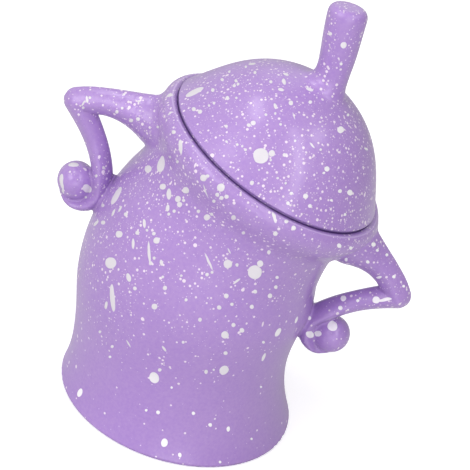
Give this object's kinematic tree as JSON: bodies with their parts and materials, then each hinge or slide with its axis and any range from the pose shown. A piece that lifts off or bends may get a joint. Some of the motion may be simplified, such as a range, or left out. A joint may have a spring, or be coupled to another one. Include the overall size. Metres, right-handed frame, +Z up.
{
  "type": "candy jar",
  "caption": "Leaning round ceramic candy jar with two bent arm handles and a loose domed lid with a tall stem grip.",
  "frame": {"origin": "centre of the round foot, on the surface that the jar stands on", "axes": "+Z up from the foot, +X the side that the body leans towards, -Y the front, which shows both arms"},
  "size_m": [0.1688, 0.109, 0.2032],
  "materials": {
    "splatter_glaze": "satin lilac glaze with fine off-white splatter, dense near the top and sparse near the foot"
  },
  "bodies": {
    "root": {"jar": "splatter_glaze", "lid": "splatter_glaze"}
  },
  "joints": []
}
